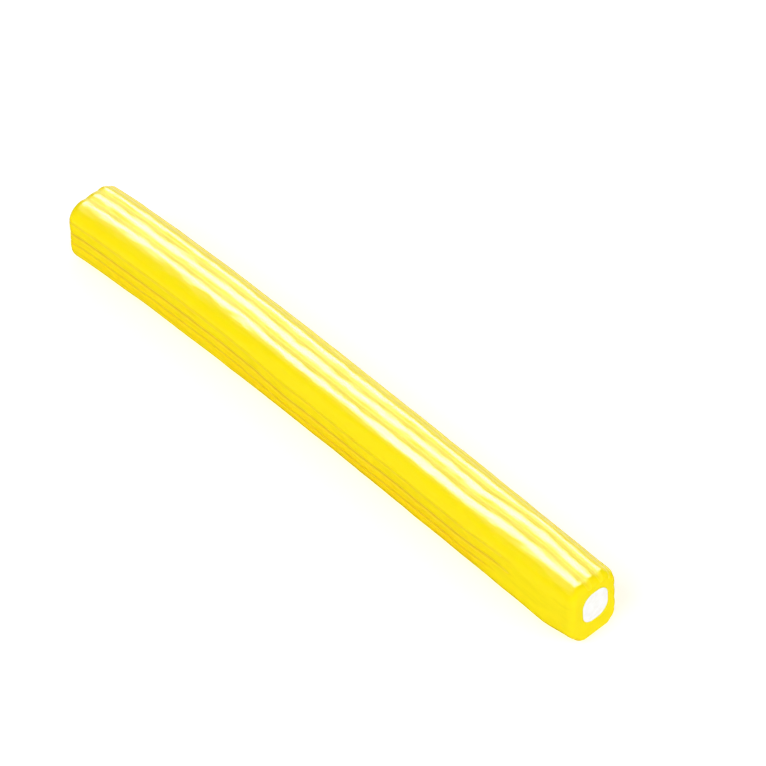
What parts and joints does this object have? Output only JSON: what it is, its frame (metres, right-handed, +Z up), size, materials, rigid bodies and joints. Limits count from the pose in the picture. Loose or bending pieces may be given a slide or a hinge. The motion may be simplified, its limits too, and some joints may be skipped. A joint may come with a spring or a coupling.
{
  "type": "filled gummy stick",
  "caption": "Straight glossy yellow gummy stick with ridges along its skin and a white fondant filling that shows at both cut ends.",
  "frame": {"origin": "middle of the stick's box, on the surface that it lies on", "axes": "+X along the stick towards the end that is nearer in the picture, +Y towards its back, +Z up"},
  "size_m": [0.1462, 0.0146, 0.0154],
  "materials": {
    "jelly": "wet-looking gloss, opaque lemon yellow, fine ridges along the stick",
    "fondant": "matt, cut, slightly grainy"
  },
  "bodies": {
    "root": {"jacket": "jelly", "filling": "fondant"}
  },
  "joints": []
}
